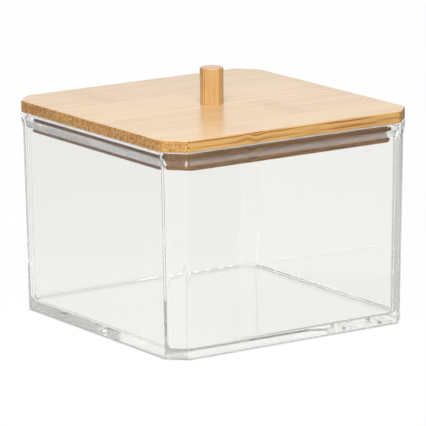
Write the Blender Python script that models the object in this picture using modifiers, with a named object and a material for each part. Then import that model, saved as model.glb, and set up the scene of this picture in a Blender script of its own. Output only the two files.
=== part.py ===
"""Lidded storage box: a clear moulded tub with flat corners, and a bamboo lid that lifts out.

The tub stands on z = 0 and is centred on the Z axis. Its long story is the mouth: the drafted
wall flares out under a straight rim, while the inside opens faster as a lead-in for the lid, so
the wall is thick below and thin at the rim. The lid is a top plate and a smaller plug board
under it, with a turned knob that a countersunk screw holds from below.

All lengths are in metres.
"""

import math

import bmesh
import bpy
from mathutils import Vector

# Tub, outside: the rim is the widest, the flare and the draft step in from it on each side
TUB_HEIGHT = 0.0778
RIM_WIDTH = 0.1112
FLARE_STEP = 0.0007
DRAFT_STEP = 0.0011
BASE_CORNER_CUT = 0.0062
BASE_EDGE_RADIUS = 0.0010
TUB_CORNER_RADIUS = 0.0005

# Tub, walls
WALL_THICKNESS = 0.0029
RIM_WALL_THICKNESS = 0.00155
INSIDE_CORNER_RADIUS = 0.0030
FLOOR_THICKNESS = 0.0034
FLOOR_FILLET = 0.0015

# Mouth: drops are measured down from the top of the rim
FLARE_TOP_DROP = 0.0020
FLARE_BOTTOM_DROP = 0.0060
FLARE_FILLET = 0.0012
LEAD_IN_TOP_DROP = 0.0024
LEAD_IN_BOTTOM_DROP = 0.0060
LEAD_IN_TOP_FILLET = 0.0010
LEAD_IN_BOTTOM_FILLET = 0.0045
CROWN_SET_BACK = 0.00045
CROWN_DROP = 0.00125
RIM_EDGE_RADIUS = 0.00045

# Lid boards
PLATE_OVERHANG = 0.0001
PLATE_THICKNESS = 0.0042
PLATE_CORNER_CUT = 0.0074
PLATE_EDGE_RADIUS = 0.0004
PLUG_THICKNESS = 0.0075
PLUG_CLEARANCE = 0.0005
PLUG_CORNER_CUT = 0.0069
PLUG_EDGE_RADIUS = 0.0005
LID_CORNER_RADIUS = 0.0040

# Knob
KNOB_DIAMETER = 0.0090
KNOB_HEIGHT = 0.0137
KNOB_EDGE_RADIUS = 0.0005

# Screw that pulls the knob down on the two boards
SCREW_SHANK_DIAMETER = 0.0030
SCREW_HEAD_DIAMETER = 0.0062
SCREW_HEAD_RISE = 0.0016
SCREW_HEAD_RIM = 0.0003
SCREW_HEAD_SINK = 0.0002
SCREW_GRIP_IN_KNOB = 0.0075
SCREW_POINT_LENGTH = 0.0022
SCREW_DRIVE_WIDTH = 0.0009
SCREW_DRIVE_SPAN = 0.0034
SCREW_DRIVE_DEPTH = 0.0010

# Clearances, tool overruns and the distance under which a turned piece's axis points join
SEAT_GAP = 0.0003
HOLE_CLEARANCE = 0.0003
CUT_OVERRUN = 0.0010
MERGE_DISTANCE = 0.00001

# Fineness of the round stretches, in steps
EDGE_STEPS = 3
CORNER_STEPS = 3
LID_CORNER_STEPS = 6
TURNED_STEPS = 48
HOLE_STEPS = 32

# Faces that meet at less than this angle are shaded as one surface
SMOOTH_ANGLE = math.radians(30.0)

# The flat end of a profile starts this many edge radii in from its side
FLAT_START_SHARE = 2.0

# Angle by which the plan turns on each side of a flat corner
FLAT_CORNER_TURN = math.radians(45.0)

# A flat corner that is offset with its walls grows by this share of the offset
OFFSET_CUT_SHARE = 2.0 - math.sqrt(2.0)

# Widths and heights that follow from the sizes above
SHOULDER_WIDTH = RIM_WIDTH - FLARE_STEP * 2.0
BASE_WIDTH = SHOULDER_WIDTH - DRAFT_STEP * 2.0
PLATE_BOTTOM = TUB_HEIGHT + SEAT_GAP
PLATE_TOP = PLATE_BOTTOM + PLATE_THICKNESS
PLUG_TOP = PLATE_BOTTOM - SEAT_GAP
PLUG_BOTTOM = PLUG_TOP - PLUG_THICKNESS
KNOB_BOTTOM = PLATE_TOP + SEAT_GAP
KNOB_TOP = KNOB_BOTTOM + KNOB_HEIGHT
SCREW_HEAD_BOTTOM = PLUG_BOTTOM + SCREW_HEAD_SINK
SCREW_TIP = KNOB_BOTTOM + SCREW_GRIP_IN_KNOB

# Colours and surfaces
CLEAR_PLASTIC_COLOR = (0.94, 0.95, 0.94)
CLEAR_PLASTIC_ROUGHNESS = 0.02
BOARD_COLOR = (0.89, 0.70, 0.51)
BOARD_ROUGHNESS = 0.35
DOWEL_COLOR = (0.76, 0.46, 0.20)
DOWEL_ROUGHNESS = 0.40
STEEL_COLOR = (0.62, 0.62, 0.60)
STEEL_ROUGHNESS = 0.30

PART_COLLECTION = "lidded_storage_box"
CUTTER_COLLECTION = "cutters"


def clear_scene():
    """Remove every object, so that the model starts from an empty scene."""
    for old in list(bpy.data.objects):
        bpy.data.objects.remove(old, do_unlink=True)


def collection_named(name):
    """Make a collection and link it to the scene."""
    made = bpy.data.collections.new(name)
    bpy.context.scene.collection.children.link(made)
    return made


def material_named(name, color, roughness, metallic=0.0, clear=False):
    """Make a Principled material from a colour, a roughness and a metallic value."""
    made = bpy.data.materials.new(name)
    made.use_nodes = True
    shader = made.node_tree.nodes["Principled BSDF"]
    shader.inputs["Base Color"].default_value = (*color, 1.0)
    shader.inputs["Roughness"].default_value = roughness
    shader.inputs["Metallic"].default_value = metallic
    if clear:
        shader.inputs["Transmission Weight"].default_value = 1.0
    made.diffuse_color = (*color, 1.0)
    return made


def corner_arc(before, corner, after, radius, steps):
    """Points of the arc that rounds one corner of an outline, from its first tangent on."""
    to_before = (before - corner).normalized()
    to_after = (after - corner).normalized()
    half_angle = to_before.angle(to_after) / 2.0
    reach = radius / math.tan(half_angle)
    center = corner + (to_before + to_after).normalized() * (radius / math.sin(half_angle))
    start = (corner + to_before * reach - center).normalized()
    end = (corner + to_after * reach - center).normalized()
    return [center + start.slerp(end, step / steps) * radius for step in range(steps + 1)]


def plan_outline(half_width, corner_cut, radius, steps):
    """Plan of a square with flat corners whose eight edges are rounded, counter-clockwise."""
    side = half_width - corner_cut
    corners = []
    for turn in range(4):
        quarter = turn * math.pi / 2.0
        for x, y in ((half_width, -side), (half_width, side)):
            corners.append(Vector((x * math.cos(quarter) - y * math.sin(quarter),
                                   x * math.sin(quarter) + y * math.cos(quarter))))
    outline = []
    for index, corner in enumerate(corners):
        before = corners[index - 1]
        after = corners[(index + 1) % len(corners)]
        outline.extend(corner_arc(before, corner, after, radius, steps))
    return outline


def rounded_profile(corners, plan_radius):
    """Turn corners (half width, height, radius) into profile points, with arcs for the radii.

    Each point is (half width, height, plan radius), where plan_radius tells the radius that
    rounds the plan's corners from a profile corner's number.
    """
    places = [Vector((half_width, height)) for half_width, height, _ in corners]
    points = [(*places[0], plan_radius(0))]
    for index in range(1, len(corners) - 1):
        arc = corner_arc(places[index - 1], places[index], places[index + 1],
                         corners[index][2], EDGE_STEPS)
        points.extend((*place, plan_radius(index)) for place in arc)
    points.append((*places[-1], plan_radius(len(corners) - 1)))
    return points


def loft(name, profile, cut_at, corner_steps):
    """Skin plan outlines along a profile and close both ends.

    profile holds (half width, height, plan radius) points, and cut_at gives the flat corner for
    a half width.
    """
    mesh = bpy.data.meshes.new(name)
    work = bmesh.new()
    rings = []
    for half_width, height, corner_radius in profile:
        outline = plan_outline(half_width, cut_at(half_width), corner_radius, corner_steps)
        rings.append([work.verts.new((point.x, point.y, height)) for point in outline])
    for first, second in zip(rings, rings[1:]):
        for index in range(len(first)):
            work.faces.new((first[index - 1], first[index], second[index], second[index - 1]))
    work.faces.new(reversed(rings[0]))
    work.faces.new(rings[-1])
    bmesh.ops.recalc_face_normals(work, faces=work.faces)
    work.to_mesh(mesh)
    work.free()
    return bpy.data.objects.new(name, mesh)


def turned(name, profile):
    """Revolve a profile of (radius, height) points, listed from top to bottom, about Z."""
    mesh = bpy.data.meshes.new(name)
    work = bmesh.new()
    points = [work.verts.new((radius, 0.0, height)) for radius, height in profile]
    for upper, lower in zip(points, points[1:]):
        work.edges.new((upper, lower))
    work.to_mesh(mesh)
    work.free()
    made = bpy.data.objects.new(name, mesh)
    screw = made.modifiers.new("turn", "SCREW")
    screw.axis = "Z"
    screw.steps = TURNED_STEPS
    screw.render_steps = TURNED_STEPS
    screw.use_merge_vertices = True
    screw.merge_threshold = MERGE_DISTANCE
    return made


def cylinder_cutter(name, diameter, bottom, top, home):
    """A round cutter about the Z axis between two heights."""
    mesh = bpy.data.meshes.new(name)
    work = bmesh.new()
    bmesh.ops.create_cone(work, cap_ends=True, segments=HOLE_STEPS, radius1=diameter / 2.0,
                          radius2=diameter / 2.0, depth=top - bottom)
    work.to_mesh(mesh)
    work.free()
    made = bpy.data.objects.new(name, mesh)
    made.location.z = (bottom + top) / 2.0
    hide_cutter(made, home)
    return made


def hide_cutter(cutter, home):
    """Put a cutter in its collection, out of the render."""
    home.objects.link(cutter)
    cutter.hide_render = True
    cutter.display_type = "WIRE"


def cut(target, cutter):
    """Take a cutter's shape out of a piece."""
    boolean = target.modifiers.new(cutter.name, "BOOLEAN")
    boolean.operation = "DIFFERENCE"
    boolean.solver = "EXACT"
    boolean.object = cutter


def finish(piece, material, home, parent):
    """Give a piece its material, its shading, its place in the collection and its parent."""
    piece.data.materials.append(material)
    piece.data.shade_smooth()
    piece.data.set_sharp_from_angle(angle=SMOOTH_ANGLE)
    home.objects.link(piece)
    piece.parent = parent


def tub_half_width(height):
    """Half of the tub's outside width at a height on the drafted wall."""
    shoulder = TUB_HEIGHT - FLARE_BOTTOM_DROP
    draft_share = height / shoulder
    return (BASE_WIDTH + (SHOULDER_WIDTH - BASE_WIDTH) * draft_share) / 2.0


def tub_corner_cut(half_width):
    """Flat corner that keeps the corner facet parallel to itself as the walls move out."""
    return BASE_CORNER_CUT + OFFSET_CUT_SHARE * (half_width - BASE_WIDTH / 2.0)


def tub_profile():
    """Profile of the tub from its underside, up the outside, over the rim and down inside."""
    rim_half = RIM_WIDTH / 2.0
    rim_inside = rim_half - RIM_WALL_THICKNESS
    lead_in_bottom = TUB_HEIGHT - LEAD_IN_BOTTOM_DROP
    wall_inside = tub_half_width(lead_in_bottom) - WALL_THICKNESS
    floor_inside = tub_half_width(FLOOR_THICKNESS) - WALL_THICKNESS
    outside = [
        (tub_half_width(0.0) - BASE_EDGE_RADIUS * FLAT_START_SHARE, 0.0, 0.0),
        (tub_half_width(0.0), 0.0, BASE_EDGE_RADIUS),
        (SHOULDER_WIDTH / 2.0, TUB_HEIGHT - FLARE_BOTTOM_DROP, FLARE_FILLET),
        (rim_half, TUB_HEIGHT - FLARE_TOP_DROP, FLARE_FILLET),
        (rim_half, TUB_HEIGHT, RIM_EDGE_RADIUS),
    ]
    inside = [
        (rim_inside + CROWN_SET_BACK, TUB_HEIGHT, RIM_EDGE_RADIUS),
        (rim_inside, TUB_HEIGHT - CROWN_DROP, RIM_EDGE_RADIUS),
        (rim_inside, TUB_HEIGHT - LEAD_IN_TOP_DROP, LEAD_IN_TOP_FILLET),
        (wall_inside, lead_in_bottom, LEAD_IN_BOTTOM_FILLET),
        (floor_inside, FLOOR_THICKNESS, FLOOR_FILLET),
        (floor_inside - FLOOR_FILLET * FLAT_START_SHARE, FLOOR_THICKNESS, 0.0),
    ]
    return rounded_profile(outside + inside, lambda index: (
        TUB_CORNER_RADIUS if index < len(outside) else INSIDE_CORNER_RADIUS))


def board(name, width, corner_cut, thickness, bottom, edge_radius):
    """A lid board: a box whose corners are cut flat and then softened, with softened rims."""
    mesh = bpy.data.meshes.new(name)
    work = bmesh.new()
    bmesh.ops.create_cube(work, size=width)
    bmesh.ops.scale(work, vec=(1.0, 1.0, thickness / width), verts=work.verts)
    softening = LID_CORNER_RADIUS * math.tan(FLAT_CORNER_TURN / 2.0)
    for offset, steps in ((corner_cut, 1), (softening, LID_CORNER_STEPS)):
        upright = [edge for edge in work.edges if edge.verts[0].co.z != edge.verts[1].co.z]
        bmesh.ops.bevel(work, geom=upright, offset=offset, offset_type="OFFSET",
                        segments=steps, profile=0.5, affect="EDGES")
    bmesh.ops.recalc_face_normals(work, faces=work.faces)
    work.to_mesh(mesh)
    work.free()
    made = bpy.data.objects.new(name, mesh)
    made.location.z = bottom + thickness / 2.0
    soften = made.modifiers.new("soft_rims", "BEVEL")
    soften.width = edge_radius
    soften.segments = EDGE_STEPS
    soften.limit_method = "ANGLE"
    soften.angle_limit = FLAT_CORNER_TURN
    return made


def plug_width():
    """Width of the plug board, from the mouth that it drops into."""
    mouth_inside = tub_half_width(TUB_HEIGHT - LEAD_IN_BOTTOM_DROP) - WALL_THICKNESS
    return (mouth_inside - PLUG_CLEARANCE) * 2.0


def countersink_profile(clearance):
    """Outer profile of the screw's head cone, from its top down, grown by a clearance."""
    shank = SCREW_SHANK_DIAMETER / 2.0 + clearance
    head = SCREW_HEAD_DIAMETER / 2.0 + clearance
    rim_top = SCREW_HEAD_BOTTOM + SCREW_HEAD_RIM
    return [(shank, rim_top + SCREW_HEAD_RISE), (head, rim_top)]


def make_tub(material, home, parent):
    """The clear tub, one skin from its underside over the rim to its floor."""
    tub = loft("tub", tub_profile(), tub_corner_cut, CORNER_STEPS)
    finish(tub, material, home, parent)


def make_boards(material, home, cutters, parent):
    """The lid's top plate and the plug board under it, both drilled for the screw."""
    plate = board("lid_plate", RIM_WIDTH + PLATE_OVERHANG * 2.0, PLATE_CORNER_CUT,
                  PLATE_THICKNESS, PLATE_BOTTOM, PLATE_EDGE_RADIUS)
    plug = board("lid_plug", plug_width(), PLUG_CORNER_CUT,
                 PLUG_THICKNESS, PLUG_BOTTOM, PLUG_EDGE_RADIUS)
    bore = cylinder_cutter("screw_bore", SCREW_SHANK_DIAMETER + HOLE_CLEARANCE * 2.0,
                           PLUG_BOTTOM - CUT_OVERRUN, PLATE_TOP + CUT_OVERRUN, cutters)
    (cone_top, cone_rim) = countersink_profile(HOLE_CLEARANCE)
    sink = turned("screw_countersink", [
        (0.0, cone_top[1]),
        cone_top,
        cone_rim,
        (cone_rim[0], PLUG_BOTTOM - CUT_OVERRUN),
        (0.0, PLUG_BOTTOM - CUT_OVERRUN),
    ])
    hide_cutter(sink, cutters)
    cut(plate, bore)
    cut(plug, bore)
    cut(plug, sink)
    for piece in (plate, plug):
        finish(piece, material, home, parent)


def make_knob(material, home, cutters, parent):
    """The turned dowel knob, with the blind hole that the screw bites into."""
    radius = KNOB_DIAMETER / 2.0
    crown = corner_arc(Vector((0.0, KNOB_TOP)), Vector((radius, KNOB_TOP)),
                       Vector((radius, KNOB_BOTTOM)), KNOB_EDGE_RADIUS, EDGE_STEPS)
    profile = [(0.0, KNOB_TOP)] + [(point.x, point.y) for point in crown]
    profile += [(radius, KNOB_BOTTOM), (0.0, KNOB_BOTTOM)]
    knob = turned("knob", profile)
    pilot = cylinder_cutter("knob_pilot", SCREW_SHANK_DIAMETER + HOLE_CLEARANCE * 2.0,
                            KNOB_BOTTOM - CUT_OVERRUN, SCREW_TIP + HOLE_CLEARANCE, cutters)
    cut(knob, pilot)
    finish(knob, material, home, parent)


def make_screw(material, home, cutters, parent):
    """The countersunk screw, head down in the plug board and point up in the knob."""
    (cone_top, cone_rim) = countersink_profile(0.0)
    shank_top = SCREW_TIP - SCREW_POINT_LENGTH
    screw = turned("knob_screw", [
        (0.0, SCREW_TIP),
        (cone_top[0], shank_top),
        cone_top,
        cone_rim,
        (cone_rim[0], SCREW_HEAD_BOTTOM),
        (0.0, SCREW_HEAD_BOTTOM),
    ])
    for name, width, depth in (("screw_drive_x", SCREW_DRIVE_SPAN, SCREW_DRIVE_WIDTH),
                               ("screw_drive_y", SCREW_DRIVE_WIDTH, SCREW_DRIVE_SPAN)):
        mesh = bpy.data.meshes.new(name)
        work = bmesh.new()
        height = SCREW_DRIVE_DEPTH + CUT_OVERRUN
        shares = [size / SCREW_DRIVE_SPAN for size in (width, depth, height)]
        bmesh.ops.create_cube(work, size=SCREW_DRIVE_SPAN)
        bmesh.ops.scale(work, vec=shares, verts=work.verts)
        work.to_mesh(mesh)
        work.free()
        slot = bpy.data.objects.new(name, mesh)
        slot.location.z = SCREW_HEAD_BOTTOM + SCREW_DRIVE_DEPTH - height / 2.0
        hide_cutter(slot, cutters)
        cut(screw, slot)
    finish(screw, material, home, parent)


def main():
    """Build the tub and the lid."""
    clear_scene()
    home = collection_named(PART_COLLECTION)
    cutters = collection_named(CUTTER_COLLECTION)
    lid = bpy.data.objects.new("lid_axis", None)
    home.objects.link(lid)
    clear_plastic = material_named("clear_plastic", CLEAR_PLASTIC_COLOR,
                                   CLEAR_PLASTIC_ROUGHNESS, clear=True)
    bamboo = material_named("bamboo_board", BOARD_COLOR, BOARD_ROUGHNESS)
    dowel = material_named("bamboo_dowel", DOWEL_COLOR, DOWEL_ROUGHNESS)
    steel = material_named("zinc_plated_steel", STEEL_COLOR, STEEL_ROUGHNESS, metallic=1.0)
    make_tub(clear_plastic, home, None)
    make_boards(bamboo, home, cutters, lid)
    make_knob(dowel, home, cutters, lid)
    make_screw(steel, home, cutters, lid)
    bpy.context.view_layer.update()


main()
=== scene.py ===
"""Finished look of the lidded storage box, built around its fixed frame.

A clear moulded tub with flat corners holds a bamboo lid: a top plate on the rim, a plug board
in the mouth, and a turned knob on a countersunk screw. All lengths are in metres, +Z is up, and
the box stands on z = 0.
"""

import logging
import math
from dataclasses import dataclass
from enum import Enum
from typing import Any, Sequence

import bmesh
import bpy
from mathutils import Matrix, Vector


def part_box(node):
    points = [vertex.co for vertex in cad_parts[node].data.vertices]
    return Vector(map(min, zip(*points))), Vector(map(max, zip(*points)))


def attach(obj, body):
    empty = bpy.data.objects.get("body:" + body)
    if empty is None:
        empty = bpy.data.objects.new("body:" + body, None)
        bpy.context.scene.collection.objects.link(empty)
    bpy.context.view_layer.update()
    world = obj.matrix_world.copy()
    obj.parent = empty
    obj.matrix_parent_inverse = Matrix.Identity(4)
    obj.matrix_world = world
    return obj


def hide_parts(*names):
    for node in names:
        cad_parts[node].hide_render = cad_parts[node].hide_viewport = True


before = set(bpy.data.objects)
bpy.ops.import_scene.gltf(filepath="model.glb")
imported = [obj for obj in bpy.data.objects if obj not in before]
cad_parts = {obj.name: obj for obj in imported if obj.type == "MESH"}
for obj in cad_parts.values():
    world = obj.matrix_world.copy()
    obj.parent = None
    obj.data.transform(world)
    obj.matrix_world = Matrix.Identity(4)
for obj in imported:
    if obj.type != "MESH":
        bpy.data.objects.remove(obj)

logging.basicConfig(level=logging.INFO, format="%(name)s: %(message)s")
log = logging.getLogger("storage_box")

MM = 0.001
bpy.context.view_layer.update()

# Short names of types
Object = bpy.types.Object
Material = bpy.types.Material
Socket = bpy.types.NodeSocket
Colour = tuple[float, float, float, float]
Point = tuple[float, float, float]

WHITE: Colour = (1.0, 1.0, 1.0, 1.0)

# Space left between finished pieces that touch on the real box
TOUCH_GAP = 0.02 * MM

# Distance under which doubled points of a finished piece join
DOUBLE_DISTANCE = 0.0001 * MM

# Faces that meet at less than this angle are shaded as one surface
SMOOTH_ANGLE = math.radians(32.0)

# Angle by which the plan turns on each side of a flat corner
FLAT_CORNER_TURN = math.radians(45.0)

# How much a corner cut grows for each unit that the walls move out, with its facet parallel
FLAT_CORNER_GROWTH = 2.0 - math.sqrt(2.0)

# Weight that lets large faces decide how the edges round them are shaded
FACE_WEIGHT = 50


class Grain(Enum):
    """Way the bamboo's fibres run, as the turn in radians that lays them along the X axis.

    The upright grain also turns its calm, paler growth side to the front corner and its darker
    streaky sides to the left and right: painted light at the knob's middle and painted shade at
    its sides.
    """

    ALONG_X = (0.0, 0.0, 0.0)
    ALONG_Z = (math.pi / 2.0, math.radians(146.0), math.pi / 2.0)


class Body(Enum):
    """Bodies of the frame that the pieces ride on."""

    TUB = "tub"
    LID = "lid"


class Kind(Enum):
    """Kinds of socket that the node groups have."""

    FLOAT = "NodeSocketFloat"
    WHOLE = "NodeSocketInt"
    VECTOR = "NodeSocketVector"
    COLOUR = "NodeSocketColor"
    MATERIAL = "NodeSocketMaterial"
    OBJECT = "NodeSocketObject"
    SHAPE = "NodeSocketGeometry"


class Wiring:
    """Short calls for placing and joining the nodes of one tree."""

    def __init__(self, tree: bpy.types.NodeTree) -> None:
        """Hold the shader or geometry tree that the calls work on."""
        self.tree = tree

    def feed(self, target: Socket, value: Any) -> None:
        """Join an output to a socket, or set the socket to a plain value.

        Args:
            target: Input socket.
            value: Output socket, number, vector or colour.
        """
        if isinstance(value, Socket):
            self.tree.links.new(value, target)
        else:
            target.default_value = value

    def put(self, node: bpy.types.Node, **values: Any) -> bpy.types.Node:
        """Feed a node's inputs by name, with an underscore for each space in the name.

        Args:
            node: Node whose inputs are fed.
            values: Input name and what goes in.

        Returns:
            The same node.
        """
        for name, value in values.items():
            self.feed(node.inputs[name.replace("_", " ")], value)
        return node

    def add(self, kind: str, **values: Any) -> bpy.types.Node:
        """Add a node, set its properties, and then feed its inputs.

        Args:
            kind: Blender's name of the node type.
            values: Properties, whose names are in lower case, and inputs, whose names start
                with a capital.

        Returns:
            The new node.
        """
        node = self.tree.nodes.new(kind)
        inputs = {}
        for name, value in values.items():
            if name[0].isupper():
                inputs[name] = value
            else:
                setattr(node, name, value)
        return self.put(node, **inputs)

    def apply(self, kind: str, *values: Any, **named: Any) -> Socket:
        """Add a node for the sake of its first output.

        Args:
            kind: Blender's name of the node type.
            values: What goes into the first inputs, in their order.
            named: Properties and inputs by name, as add takes them.

        Returns:
            The first output's socket.
        """
        node = self.add(kind, **named)
        for socket, value in zip(node.inputs, values):
            self.feed(socket, value)
        return node.outputs[0]

    def math(self, operation: str, *values: Any, clamp: bool = False) -> Socket:
        """Add a math node, whose result can be kept between 0 and 1, and return its socket."""
        return self.apply("ShaderNodeMath", *values, operation=operation, use_clamp=clamp)

    def whole(self, operation: str, *values: Any) -> Socket:
        """Add a math node for whole numbers and return its result's socket."""
        return self.apply("FunctionNodeIntegerMath", *values, operation=operation)

    def vector(self, operation: str, *values: Any) -> Socket:
        """Add a math node for vectors and return its result's socket."""
        return self.apply("ShaderNodeVectorMath", *values, operation=operation)

    def scale(self, vector: Any, factor: Any) -> Socket:
        """Multiply a vector by a number and return its socket."""
        return self.apply("ShaderNodeVectorMath", vector, operation="SCALE", Scale=factor)

    def split(self, vector: Socket) -> Sequence[Socket]:
        """Split a vector and return the sockets of its three parts."""
        return self.add("ShaderNodeSeparateXYZ", Vector=vector).outputs

    def join(self, **parts: Any) -> Socket:
        """Join parts named X, Y and Z to a vector and return its socket."""
        return self.apply("ShaderNodeCombineXYZ", **parts)

    def ramp(self, value: Any, low: Any, high: Any, to_low: Any = 0.0,
             to_high: Any = 1.0) -> Socket:
        """Ease a value: to_low where it is low, to_high where it is high, smooth between."""
        return self.apply("ShaderNodeMapRange", value, low, high, to_low, to_high,
                          interpolation_type="SMOOTHSTEP")

    def blend(self, share: Any, first: Any, second: Any) -> Socket:
        """Mix two colours.

        Args:
            share: How much of the second shows.
            first: First colour.
            second: Second colour.

        Returns:
            The mixed colour's socket.
        """
        node = self.add("ShaderNodeMix", data_type="RGBA")
        for number, value in ((0, share), (6, first), (7, second)):
            self.feed(node.inputs[number], value)
        return node.outputs[2]

    def noise(self, place: Socket, scale: float, detail: float,
              roughness: float = 0.5) -> Socket:
        """Add a soft noise around 0.5, with finer layers by its detail and roughness."""
        return self.add("ShaderNodeTexNoise", Vector=place, Scale=scale, Detail=detail,
                        Roughness=roughness).outputs["Fac"]

    def bump(self, height: Socket, strength: float, distance: float) -> Socket:
        """Turn a height from 0 to 1, which stands for a distance, into a normal."""
        return self.apply("ShaderNodeBump", Height=height, Strength=strength,
                          Distance=distance)

    def deliver(self, shape: Socket, finish: Socket) -> None:
        """End a geometry tree: make instances real, set the finish and put the shape out.

        Args:
            shape: Finished geometry.
            finish: Material that it gets.
        """
        real = self.apply("GeometryNodeRealizeInstances", shape)
        done = self.apply("GeometryNodeSetMaterial", Geometry=real, Material=finish)
        self.add("NodeGroupOutput", Geometry=done)


def new_group(name: str, tree_type: str, inputs: dict[Kind, Sequence[str]],
              outputs: dict[Kind, Sequence[str]]) -> tuple[Wiring, Any]:
    """Make a node group with named sockets.

    Args:
        name: Name of the group.
        tree_type: Blender's name of the tree's type.
        inputs: Names of the sockets of each kind that go in.
        outputs: Names of the sockets of each kind that come out.

    Returns:
        The group's wiring, and the sockets of what it is given.
    """
    tree = bpy.data.node_groups.new(name, tree_type)
    for direction, kinds in (("INPUT", inputs), ("OUTPUT", outputs)):
        for kind, sockets in kinds.items():
            for socket in sockets:
                tree.interface.new_socket(socket, in_out=direction, socket_type=kind.value)
    wire = Wiring(tree)
    return wire, wire.add("NodeGroupInput").outputs


def linear(red: float, green: float, blue: float) -> Colour:
    """Turn a screen colour with parts from 0 to 255 into the linear colour of a socket.

    Args:
        red: Red part.
        green: Green part.
        blue: Blue part.

    Returns:
        Linear colour with full alpha.
    """
    shares = [part / 255.0 for part in (red, green, blue)]
    parts = [share / 12.92 if share <= 0.04045 else ((share + 0.055) / 1.055) ** 2.4
             for share in shares]
    return (parts[0], parts[1], parts[2], 1.0)


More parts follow.
